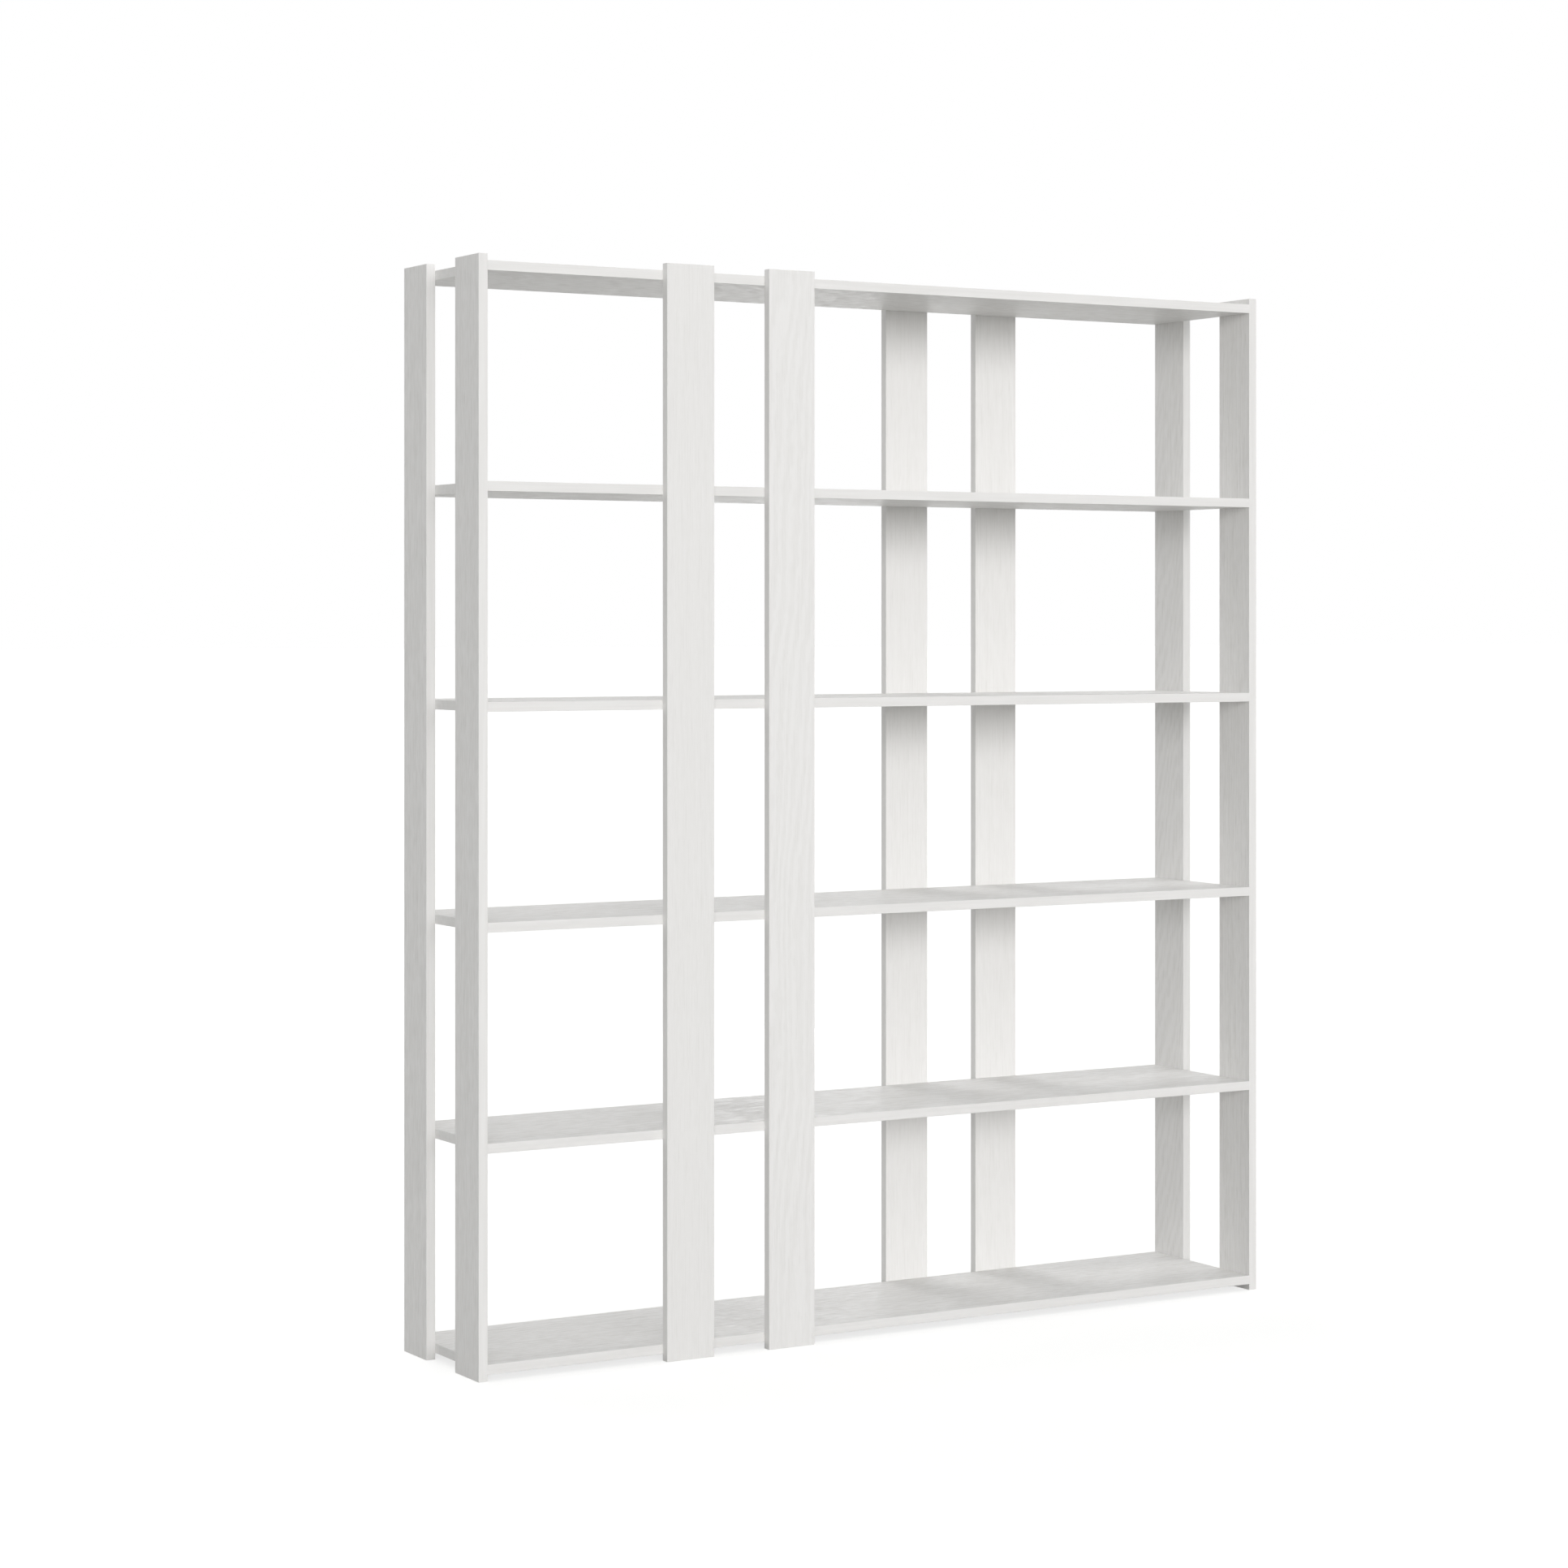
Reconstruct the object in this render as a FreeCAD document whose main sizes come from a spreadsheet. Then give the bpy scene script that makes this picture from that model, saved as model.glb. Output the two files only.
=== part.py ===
"""Opened bookcase: six long shelves held between eight narrow uprights, in millimetres.

It is made of faced board with glued-on edging, and has no back, doors or side panels.
At each end two uprights stand edge-on to the front, one at the front and one at the back.
Two more lie flat against the shelves' front edges, left of the middle, and two against
their back edges, right of the middle, so the whole turns onto itself about the vertical.
Each shelf meets each upright in one joint: a bolt and cam between two dowels.

Frame: +X runs along the shelves, to the right seen from the front, +Y from front to back
and +Z up. The origin is on the floor, in the middle of the plan.

All eight uprights are alike, and so are their edging, dowels and bolts. They are drawn in a
frame of their own: the face that meets the shelves is the plane y = 0, the board lies at
negative y, the shelves lie at positive y, and x = 0 is the board's middle line. All six
shelves are drawn about the vertical axis with their underside at z = 0, and are alike but
for the cams: the shelves above eye level hold them in their upper face and the others in
their underside, out of sight.
"""

import FreeCAD, Part
import Sketcher
import os

SHELF_COUNT = 6
LOW_SHELF_COUNT = 4

SIZES = (
    ("unit_length", 1770, "over the outer faces of the end uprights"),
    ("upright_height", 2040, "floor to the top of every upright"),
    ("upright_width", 100, "broad face of every upright"),
    ("board_thickness", 18, "all boards, with their facing"),
    ("side_gap", 124, "between the front and the rear upright of one end"),
    ("end_gap", 360, "between an end upright and the nearest flat upright"),
    ("flat_gap", 119, "between the two flat uprights of a pair"),
    ("shelf_margin", 12, "of the uprights, below the bottom and above the top shelf"),
    ("edging_thickness", 1, "strips glued to the boards' edges"),
    ("edging_arris", 0.6, "radius along the strips' outer corners"),
    ("edging_joint", 0.1, "hairline between two strips at a corner"),
    ("hole_skin", 6, "board left behind the holes in the uprights"),
    ("fit_clearance", 0.1, "round dowels, bolt threads and cams, on the radius"),
    ("end_clearance", 0.5, "between a dowel or bolt and what it points at"),
    ("dowel_diameter", 8, "fluted beech dowel"),
    ("dowel_length", 30, "over both ends"),
    ("dowel_chamfer", 1, "at both ends"),
    ("dowel_inset", 18, "from an upright's long edge to a dowel's axis"),
    ("thread_diameter", 6.3, "of the cam bolt, in the upright"),
    ("shank_diameter", 7, "of the cam bolt, in the shelf"),
    ("shank_clearance", 0.5, "round the shank, on the radius"),
    ("neck_diameter", 4, "of the cam bolt, behind its head"),
    ("head_diameter", 6.8, "of the cam bolt"),
    ("head_length", 3.2, "of the cam bolt"),
    ("cam_diameter", 15, "housing let into the shelf's hidden face"),
    ("cam_inset", 34, "from the shelf's edge to the cam's axis"),
    ("cam_skin", 5.5, "board left behind the cam"),
    ("cam_sink", 0.3, "of the cam's face in the shelf's face"),
    ("cam_clearance", 0.2, "between the bolt and the slots in the cam"),
    ("recess_length", 9, "each arm of the driver's cross, end to end"),
    ("recess_width", 1.8, "each arm of the driver's cross"),
    ("recess_depth", 2, "of the driver's cross"),
    ("cut_overrun", 1, "of a cut past the face that it opens"),
)

HALF_SHELF = "(Sizes.unit_length / 2 - Sizes.board_thickness)"
HALF_DEPTH = "(Sizes.side_gap / 2 + Sizes.upright_width)"
END_MIDDLE = "(Sizes.side_gap / 2 + Sizes.upright_width / 2)"
OUTER_FLAT = f"({HALF_SHELF} - Sizes.end_gap - Sizes.upright_width / 2)"
INNER_FLAT = f"({OUTER_FLAT} - Sizes.flat_gap - Sizes.upright_width)"
SHELF_RISE = "(Sizes.upright_height - 2 * Sizes.shelf_margin - Sizes.board_thickness)"
FIRST_JOINT = "(Sizes.shelf_margin + Sizes.board_thickness / 2)"
MIDDLE_UP = "Sizes.board_thickness / 2"
HALF_LONG = f"({HALF_SHELF} - Sizes.edging_thickness)"
HALF_DEEP = f"({HALF_DEPTH} - Sizes.edging_thickness)"
HALF_UPRIGHT = "Sizes.upright_width / 2"
DOWEL_SPREAD = f"({HALF_UPRIGHT} - Sizes.dowel_inset)"
UPRIGHT_HOLE = "(Sizes.board_thickness - Sizes.hole_skin)"
UPRIGHT_GRIP = f"({UPRIGHT_HOLE} - Sizes.end_clearance)"
DOWEL_HOLE = "(Sizes.dowel_diameter + 2 * Sizes.fit_clearance)"

UPRIGHTS = (
    ("end_upright_front_left", -90, f"-{HALF_SHELF}", f"-{END_MIDDLE}"),
    ("end_upright_rear_left", -90, f"-{HALF_SHELF}", END_MIDDLE),
    ("end_upright_front_right", 90, HALF_SHELF, f"-{END_MIDDLE}"),
    ("end_upright_rear_right", 90, HALF_SHELF, END_MIDDLE),
    ("flat_upright_front_outer", 0, f"-{OUTER_FLAT}", f"-{HALF_DEPTH}"),
    ("flat_upright_front_inner", 0, f"-{INNER_FLAT}", f"-{HALF_DEPTH}"),
    ("flat_upright_rear_inner", 180, INNER_FLAT, HALF_DEPTH),
    ("flat_upright_rear_outer", 180, OUTER_FLAT, HALF_DEPTH),
)

END_CAM = f"-{HALF_SHELF} + Sizes.cam_inset"
FRONT_CAM = f"-{HALF_DEPTH} + Sizes.cam_inset"
CAMS = (
    ("end_front", END_CAM, f"-{END_MIDDLE}", True),
    ("end_rear", END_CAM, END_MIDDLE, True),
    ("front_outer", f"-{OUTER_FLAT}", FRONT_CAM, False),
    ("front_inner", f"-{INNER_FLAT}", FRONT_CAM, False),
)

UP = FreeCAD.Vector(0, 0, 1)
SKETCH_ORIGIN = (-1, 1)
START_POINT = 1
END_POINT = 2
CENTRE_POINT = 3
PARALLEL_COSINE = 0.999


def add_sheet(doc):
    """The driving sizes, one row each: what it is, the value, and where it is measured."""
    sheet = doc.addObject("Spreadsheet::Sheet", "Sizes")
    for row, (alias, value, note) in enumerate(SIZES, start=1):
        sheet.set(f"A{row}", alias.replace("_", " "))
        sheet.set(f"B{row}", str(value))
        sheet.setAlias(f"B{row}", alias)
        sheet.set(f"C{row}", note)
    doc.recompute()


def add_body(doc, label):
    """An empty body that may hold several separate solids, such as a set of strips or bolts."""
    body = doc.addObject("PartDesign::Body", label)
    body.Label = label
    body.AllowCompound = True
    return body


def origin_part(body, role):
    """One of the body's own origin planes or axes."""
    return next(part for part in body.Origin.OriginFeatures if part.Role == role)


def add_sketch(body, name, plane, up="0", out="0"):
    """A sketch on an origin plane, moved up along its own y and out along its normal."""
    sketch = body.newObject("Sketcher::SketchObject", name)
    sketch.AttachmentSupport = [(origin_part(body, plane), "")]
    sketch.MapMode = "FlatFace"
    sketch.setExpression("AttachmentOffset.Base.y", up)
    sketch.setExpression("AttachmentOffset.Base.z", out)
    return sketch


def constrain(sketch, ties, relations=()):
    """Add ties, each a name, a constraint's terms and the size it follows, and plain relations."""
    first = sketch.ConstraintCount
    sketch.addConstraint([Sketcher.Constraint(*terms) for _, terms, _ in ties])
    for number, (name, _, size) in enumerate(ties, start=first):
        sketch.renameConstraint(number, name)
        sketch.setExpression(f"Constraints.{name}", size)
    if relations:
        sketch.addConstraint([Sketcher.Constraint(*terms) for terms in relations])


def place_tie(sketch, name, kind, geometry, point, size):
    """The tie of a point's signed distance from the sketch's origin, across or up."""
    here = sketch.getPoint(geometry, point)
    value = here.x if kind == "DistanceX" else here.y
    return name, (kind, *SKETCH_ORIGIN, geometry, point, value), size


def draw_circle(sketch, name, diameter, across="0", up="0"):
    """A round section with its centre and its diameter tied to the sheet."""
    circle = Part.Circle()
    number = sketch.addGeometry(circle)
    ties = [
        place_tie(sketch, f"{name}_across", "DistanceX", number, CENTRE_POINT, across),
        place_tie(sketch, f"{name}_up", "DistanceY", number, CENTRE_POINT, up),
        (f"{name}_diameter", ("Diameter", number, 2 * circle.Radius), diameter),
    ]
    constrain(sketch, ties)


def draw_outline(sketch, name, corners):
    """A closed outline of straight sides. Upright and level sides stay so, and the rest is tied."""
    count = len(corners)
    ring = [FreeCAD.Vector(index, index % 2, 0) for index in range(count)]
    sides = [Part.LineSegment(ring[index - 1], ring[index]) for index in range(count)]
    first = sketch.addGeometry(sides)[0]
    ties = []
    relations = []
    for index, (across, up) in enumerate(corners):
        side = first + index
        following = first + (index + 1) % count
        relations.append(("Coincident", side, END_POINT, following, START_POINT))
        if across == corners[index - 1][0]:
            relations.append(("Vertical", side))
        else:
            ties.append(place_tie(sketch, f"{name}_across{index}", "DistanceX", side, END_POINT, across))
        if up == corners[index - 1][1]:
            relations.append(("Horizontal", side))
        else:
            ties.append(place_tie(sketch, f"{name}_up{index}", "DistanceY", side, END_POINT, up))
    constrain(sketch, ties, relations)


def draw_rectangle(sketch, name, left, right, low, high):
    """A rectangle square to the sketch, given by where its four sides lie."""
    draw_outline(sketch, name, ((left, low), (right, low), (right, high), (left, high)))


def add_pad(body, name, sketch, length, backwards=False):
    """Material from a sketch, along its normal or against it."""
    pad = body.newObject("PartDesign::Pad", name)
    pad.Profile = sketch
    pad.Reversed = backwards
    pad.setExpression("Length", length)
    return pad


def add_pocket(body, name, sketch, depth=None, along_normal=False):
    """A cut from a sketch, against its normal or along it, to a depth or right through."""
    pocket = body.newObject("PartDesign::Pocket", name)
    pocket.Profile = sketch
    pocket.Reversed = along_normal
    if depth is None:
        pocket.Type = "ThroughAll"
    else:
        pocket.setExpression("Length", depth)
    return pocket


def long_edges(shape, along, limits, longer_than):
    """The long straight edges that run along one axis and lie on the shape's named sides."""
    names = []
    for number, edge in enumerate(shape.Edges, start=1):
        direction = edge.tangentAt(edge.FirstParameter)
        if edge.Length < longer_than or abs(getattr(direction, along)) < PARALLEL_COSINE:
            continue
        for limit in limits:
            place = getattr(edge.CenterOfMass, limit[0].lower())
            if abs(place - getattr(shape.BoundBox, limit)) < shape.getTolerance(1):
                names.append(f"Edge{number}")
    return names


def round_edges(body, name, *choices):
    """Round strips' long edges, chosen by the axis that they run along and the sides they lie on."""
    doc = body.Document
    doc.recompute()
    strips = body.Tip
    names = []
    for along, *limits in choices:
        names += long_edges(strips.Shape, along, limits, doc.Sizes.board_thickness)
    fillet = body.newObject("PartDesign::Fillet", name)
    fillet.Base = (strips, names)
    fillet.setExpression("Radius", "Sizes.edging_arris")


def add_turned(body, name, corners, out="0"):
    """A turned piece lying along the joint's axis, from the half section that it is turned from."""
    half_section = add_sketch(body, f"{name}_half_section", "YZ_Plane", FIRST_JOINT, out)
    draw_outline(half_section, name, corners)
    turned = body.newObject("PartDesign::Revolution", name)
    turned.Profile = half_section
    turned.ReferenceAxis = (half_section, ["H_Axis"])
    return turned


def repeat_up(body, features, pair_spacing=None):
    """Repeat features at the height of every shelf, and if asked for, across the upright too."""
    pattern = body.newObject("PartDesign::LinearPattern", "at_every_shelf")
    pattern.Originals = features
    pattern.Direction = (origin_part(body, "Z_Axis"), [""])
    pattern.Occurrences = SHELF_COUNT
    pattern.setExpression("Length", SHELF_RISE)
    if pair_spacing:
        pattern.Direction2 = (origin_part(body, "X_Axis"), [""])
        pattern.Occurrences2 = 2
        pattern.setExpression("Length2", pair_spacing)
    body.Tip = pattern


def turn_half(body, features):
    """Repeat features half a turn about the vertical."""
    pattern = body.newObject("PartDesign::PolarPattern", "half_turn")
    pattern.Originals = features
    pattern.Axis = (origin_part(body, "Z_Axis"), [""])
    pattern.Occurrences = 2
    body.Tip = pattern


def place_upright(body, turn, across, back):
    """Put what is drawn in the uprights' own frame where one of the uprights stands."""
    body.Placement = FreeCAD.Placement(FreeCAD.Vector(), FreeCAD.Rotation(UP, turn))
    body.setExpression("Placement.Base.x", across)
    body.setExpression("Placement.Base.y", back)


def add_upright_board(doc, label):
    """The board itself, with the blind holes of its six joints in the face at y = 0."""
    body = add_body(doc, label)
    section = add_sketch(body, "section", "XY_Plane")
    half_core = f"({HALF_UPRIGHT} - Sizes.edging_thickness)"
    draw_rectangle(section, "board", f"-{half_core}", half_core, "-Sizes.board_thickness", "0")
    add_pad(body, "board", section, "Sizes.upright_height - Sizes.edging_thickness")

    bolt_place = add_sketch(body, "bolt_place", "XZ_Plane", up=FIRST_JOINT)
    draw_circle(bolt_place, "bolt", "Sizes.thread_diameter + 2 * Sizes.fit_clearance")
    bolt_hole = add_pocket(body, "bolt_hole", bolt_place, UPRIGHT_HOLE, along_normal=True)

    dowel_places = add_sketch(body, "dowel_places", "XZ_Plane", up=FIRST_JOINT)
    draw_circle(dowel_places, "left", DOWEL_HOLE, across=f"-{DOWEL_SPREAD}")
    draw_circle(dowel_places, "right", DOWEL_HOLE, across=DOWEL_SPREAD)
    dowel_holes = add_pocket(body, "dowel_holes", dowel_places, UPRIGHT_HOLE, along_normal=True)
    repeat_up(body, [bolt_hole, dowel_holes])
    return body


def add_upright_edging(doc, label):
    """A strip on the top end, between two full-height strips on the long edges."""
    body = add_body(doc, label)
    inner = f"({HALF_UPRIGHT} - Sizes.edging_thickness)"
    short = f"({inner} - Sizes.edging_joint)"
    top_out = "Sizes.upright_height - Sizes.edging_thickness"
    top = add_sketch(body, "top_section", "XY_Plane", out=top_out)
    draw_rectangle(top, "top", f"-{short}", short, "-Sizes.board_thickness", "0")
    add_pad(body, "top_strip", top, "Sizes.edging_thickness")
    round_edges(body, "top_arris", ("x", "ZMax"))

    sides = add_sketch(body, "side_sections", "XY_Plane")
    draw_rectangle(sides, "left", f"-{HALF_UPRIGHT}", f"-{inner}", "-Sizes.board_thickness", "0")
    draw_rectangle(sides, "right", inner, HALF_UPRIGHT, "-Sizes.board_thickness", "0")
    add_pad(body, "side_strips", sides, "Sizes.upright_height")
    round_edges(body, "side_arris", ("z", "XMin", "XMax"))
    return body


def add_dowels(doc, label):
    """Two dowels in every joint, one each side of the bolt, with chamfered ends."""
    body = add_body(doc, label)
    start = f"-{UPRIGHT_GRIP}"
    end = f"(Sizes.dowel_length - {UPRIGHT_GRIP})"
    tip_radius = "(Sizes.dowel_diameter / 2 - Sizes.dowel_chamfer)"
    corners = (
        (start, "0"),
        (end, "0"),
        (end, tip_radius),
        (f"{end} - Sizes.dowel_chamfer", "Sizes.dowel_diameter / 2"),
        (f"{start} + Sizes.dowel_chamfer", "Sizes.dowel_diameter / 2"),
        (start, tip_radius),
    )
    dowel = add_turned(body, "dowel", corners, out=f"-{DOWEL_SPREAD}")
    repeat_up(body, [dowel], pair_spacing=f"2 * {DOWEL_SPREAD}")
    return body


def add_bolts(doc, label):
    """One turned bolt in every joint: thread in the upright, shank, neck and head in the shelf."""
    body = add_body(doc, label)
    thread_end = f"-{UPRIGHT_GRIP}"
    shank_end = "Sizes.cam_inset - Sizes.cam_diameter / 2 - Sizes.end_clearance"
    head_start = "Sizes.cam_inset - Sizes.head_length / 2"
    head_end = "Sizes.cam_inset + Sizes.head_length / 2"
    corners = (
        (thread_end, "0"),
        (head_end, "0"),
        (head_end, "Sizes.head_diameter / 2"),
        (head_start, "Sizes.head_diameter / 2"),
        (head_start, "Sizes.neck_diameter / 2"),
        (shank_end, "Sizes.neck_diameter / 2"),
        (shank_end, "Sizes.shank_diameter / 2"),
        ("0", "Sizes.shank_diameter / 2"),
        ("0", "Sizes.thread_diameter / 2"),
        (thread_end, "Sizes.thread_diameter / 2"),
    )
    bolt = add_turned(body, "bolt", corners)
    repeat_up(body, [bolt])
    return body


def cam_level(depth, cams_above):
    """The height in a shelf at a depth under the face that its cams lie in."""
    return f"Sizes.board_thickness - {depth}" if cams_above else depth


def drill_shelf_edges(body):
    """The bolt and dowel holes in the left end and the front edge, from the edging inwards."""
    dowel_depth = f"Sizes.dowel_length - {UPRIGHT_GRIP} + Sizes.end_clearance"
    shank_hole = "Sizes.shank_diameter + 2 * Sizes.shank_clearance"
    faces = (
        ("end", "YZ_Plane", f"-{HALF_SHELF}", True, (f"-{END_MIDDLE}", END_MIDDLE)),
        ("front", "XZ_Plane", HALF_DEPTH, False, (f"-{OUTER_FLAT}", f"-{INNER_FLAT}")),
    )
    cuts = []
    for face, plane, out, along_normal, joints in faces:
        bolts = add_sketch(body, f"{face}_bolt_places", plane, MIDDLE_UP, out)
        dowels = add_sketch(body, f"{face}_dowel_places", plane, MIDDLE_UP, out)
        for number, joint in enumerate(joints, start=1):
            draw_circle(bolts, f"joint{number}", shank_hole, across=joint)
            draw_circle(dowels, f"joint{number}_near", DOWEL_HOLE, f"{joint} - {DOWEL_SPREAD}")
            draw_circle(dowels, f"joint{number}_far", DOWEL_HOLE, f"{joint} + {DOWEL_SPREAD}")
        bolt_cut = add_pocket(body, f"{face}_bolt_holes", bolts, "Sizes.cam_inset", along_normal)
        dowel_cut = add_pocket(body, f"{face}_dowel_holes", dowels, dowel_depth, along_normal)
        cuts += [bolt_cut, dowel_cut]
    return cuts


def add_shelf_board(doc, label, cams_above):
    """The board inside its edging, drilled for eight joints, with the cams' holes above or below."""
    body = add_body(doc, label)
    outline = add_sketch(body, "outline", "XY_Plane")
    draw_rectangle(outline, "board", f"-{HALF_LONG}", HALF_LONG, f"-{HALF_DEEP}", HALF_DEEP)
    add_pad(body, "board", outline, "Sizes.board_thickness")
    cuts = drill_shelf_edges(body)
    cam_places = add_sketch(body, "cam_places", "XY_Plane", out=cam_level("0", cams_above))
    cam_hole = "Sizes.cam_diameter + 2 * Sizes.fit_clearance"
    for name, across, back, _ in CAMS:
        draw_circle(cam_places, name, cam_hole, across, back)
    cam_depth = "Sizes.board_thickness - Sizes.cam_skin"
    cuts.append(add_pocket(body, "cam_holes", cam_places, cam_depth, along_normal=not cams_above))
    turn_half(body, cuts)
    return body


def add_shelf_edging(doc, label):
    """A strip on each end, between full-length strips on the front and back edges, all drilled."""
    body = add_body(doc, label)
    short = f"({HALF_DEEP} - Sizes.edging_joint)"
    strips = add_sketch(body, "strips", "XY_Plane")
    draw_rectangle(strips, "left", f"-{HALF_SHELF}", f"-{HALF_LONG}", f"-{short}", short)
    draw_rectangle(strips, "right", HALF_LONG, HALF_SHELF, f"-{short}", short)
    ends = (f"-{HALF_SHELF}", HALF_SHELF)
    draw_rectangle(strips, "front", *ends, f"-{HALF_DEPTH}", f"-{HALF_DEEP}")
    draw_rectangle(strips, "back", *ends, HALF_DEEP, HALF_DEPTH)
    add_pad(body, "strips", strips, "Sizes.board_thickness")
    round_edges(body, "arrises", ("y", "XMin", "XMax"), ("x", "YMin", "YMax"))
    turn_half(body, drill_shelf_edges(body))
    return body


def cut_cams(body, name, level, cams_above, corners, depth=None):
    """Cut one outline into every cam, inwards; its corners are along the bolt and across it."""
    sections = add_sketch(body, f"{name}_sections", "XY_Plane", out=cam_level(level, cams_above))
    for cam, across, back, bolt_along_x in CAMS:
        if bolt_along_x:
            placed = [(f"{across} + {along}", f"{back} + {aside}") for along, aside in corners]
        else:
            placed = [(f"{across} + {aside}", f"{back} + {along}") for along, aside in corners]
        draw_outline(sections, cam, placed)
    return add_pocket(body, name, sections, depth, along_normal=not cams_above)


def add_cams(doc, label, cams_above):
    """One cam in every joint: a drum with a keyhole slot for the bolt's end, and a driver's cross."""
    body = add_body(doc, label)
    face = cam_level("Sizes.cam_sink", cams_above)
    drums = add_sketch(body, "drum_sections", "XY_Plane", out=face)
    for name, across, back, _ in CAMS:
        draw_circle(drums, name, "Sizes.cam_diameter", across, back)
    drum_height = "Sizes.board_thickness - Sizes.cam_skin - Sizes.cam_sink"
    drum = add_pad(body, "drums", drums, drum_height, backwards=cams_above)

    head = "(Sizes.head_diameter / 2 + Sizes.cam_clearance)"
    neck = "(Sizes.neck_diameter / 2 + Sizes.cam_clearance)"
    room = "(Sizes.head_length / 2 + Sizes.cam_clearance)"
    rim = "(Sizes.cam_diameter / 2 + Sizes.cut_overrun)"
    keyhole = (
        (f"-{rim}", f"-{neck}"),
        (f"-{room}", f"-{neck}"),
        (f"-{room}", f"-{head}"),
        (room, f"-{head}"),
        (room, head),
        (f"-{room}", head),
        (f"-{room}", neck),
        (f"-{rim}", neck),
    )
    slot = cut_cams(body, "keyholes", f"({MIDDLE_UP} - {head})", cams_above, keyhole)

    arm = "Sizes.recess_length / 2"
    half = "Sizes.recess_width / 2"
    cross = (
        (f"-{arm}", f"-{half}"),
        (f"-{half}", f"-{half}"),
        (f"-{half}", f"-{arm}"),
        (half, f"-{arm}"),
        (half, f"-{half}"),
        (arm, f"-{half}"),
        (arm, half),
        (half, half),
        (half, arm),
        (f"-{half}", arm),
        (f"-{half}", half),
        (f"-{arm}", half),
    )
    recess = cut_cams(body, "crosses", "Sizes.cam_sink", cams_above, cross, "Sizes.recess_depth")
    turn_half(body, [drum, slot, recess])
    return body


def add_upright(doc, name, turn, across, back):
    """One upright with its edging and the dowels and bolts of its joints."""
    pieces = [
        add_upright_board(doc, name),
        add_upright_edging(doc, f"{name}_edging"),
        add_dowels(doc, f"{name}_dowels"),
        add_bolts(doc, f"{name}_bolts"),
    ]
    for piece in pieces:
        place_upright(piece, turn, across, back)
    return pieces


def add_shelf(doc, number):
    """One shelf with its edging and its cams, counted from the bottom."""
    name = f"shelf_{number}"
    cams_above = number > LOW_SHELF_COUNT
    pieces = [
        add_shelf_board(doc, name, cams_above),
        add_shelf_edging(doc, f"{name}_edging"),
        add_cams(doc, f"{name}_cams", cams_above),
    ]
    for piece in pieces:
        steps = f"{number - 1} / {SHELF_COUNT - 1}"
        piece.setExpression("Placement.Base.z", f"Sizes.shelf_margin + {SHELF_RISE} * {steps}")
    return pieces


def check(doc, pieces):
    """Stop if anything failed to build, or if a pocket removed nothing."""
    for item in doc.Objects:
        if "Invalid" in item.State or "Error" in item.State:
            raise RuntimeError(f"{item.Label} failed: {item.State}")
        if item.TypeId == "PartDesign::Pocket":
            if not item.Shape.Volume < item.BaseFeature.Shape.Volume:
                raise RuntimeError(f"{item.Label} cuts nothing")
    for piece in pieces:
        if piece.Shape.isNull() or not piece.Shape.isValid():
            raise RuntimeError(f"{piece.Label} has no valid shape")


def main():
    """Build every upright and shelf, check them, and write one file for each sub-part."""
    doc = FreeCAD.newDocument("opened_bookcase")
    add_sheet(doc)
    pieces = []
    for name, turn, across, back in UPRIGHTS:
        pieces += add_upright(doc, name, turn, across, back)
    for number in range(1, SHELF_COUNT + 1):
        pieces += add_shelf(doc, number)
    doc.recompute()
    check(doc, pieces)
    os.makedirs("parts", exist_ok=True)
    for piece in pieces:
        piece.Shape.exportStep(f"parts/{piece.Label}.step")


main()
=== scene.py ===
"""An open bookcase of white wood-grain boards: its finishes, a plain studio and the camera."""

import math

import bmesh
import bpy
from bpy.props import FloatProperty, FloatVectorProperty, PointerProperty
from mathutils import Matrix, Vector


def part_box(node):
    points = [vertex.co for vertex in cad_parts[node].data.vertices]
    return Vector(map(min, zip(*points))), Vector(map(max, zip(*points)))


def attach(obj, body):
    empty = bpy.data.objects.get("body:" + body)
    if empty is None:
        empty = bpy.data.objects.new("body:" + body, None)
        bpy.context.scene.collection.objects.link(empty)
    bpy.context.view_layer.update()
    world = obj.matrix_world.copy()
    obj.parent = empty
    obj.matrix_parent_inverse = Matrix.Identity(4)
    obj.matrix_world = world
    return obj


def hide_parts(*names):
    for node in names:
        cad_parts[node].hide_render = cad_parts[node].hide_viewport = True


bl_info = {
    "name": "Open bookcase",
    "version": (1, 0, 0),
    "blender": (4, 5, 0),
    "location": "3D View > Sidebar > Bookcase",
    "description": "Finishes the boards and fittings of an open bookcase in a plain studio",
    "category": "Object",
}

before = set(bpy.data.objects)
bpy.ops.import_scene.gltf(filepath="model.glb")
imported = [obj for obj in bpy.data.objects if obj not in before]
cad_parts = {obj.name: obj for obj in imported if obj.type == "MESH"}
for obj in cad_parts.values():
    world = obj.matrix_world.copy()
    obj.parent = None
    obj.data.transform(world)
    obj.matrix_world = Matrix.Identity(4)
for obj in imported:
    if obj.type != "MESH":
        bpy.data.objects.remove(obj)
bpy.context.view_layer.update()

# Each board's cut of the print: how clear its grain is, how much of the growth rings it shows, and
# how far these lean across it per metre along it.
UPRIGHT_CUTS = {
    "flat_upright_front_outer": (0.9, 0.12, 0.04),
    "flat_upright_front_inner": (1.0, 1.0, -0.06),
    "flat_upright_rear_inner": (1.0, 0.3, 0.05),
    "flat_upright_rear_outer": (1.0, 0.6, 0.14),
    "end_upright_front_left": (2.0, 0.15, 0.0),
    "end_upright_rear_left": (2.0, 0.15, 0.02),
    "end_upright_front_right": (2.2, 0.3, -0.05),
    "end_upright_rear_right": (1.7, 1.1, 0.3),
}
SHELF_CUTS = {f"shelf_{number}": (3.4, 0.25, 0.05) for number in range(1, 7)}
UPRIGHTS = list(UPRIGHT_CUTS)
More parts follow.
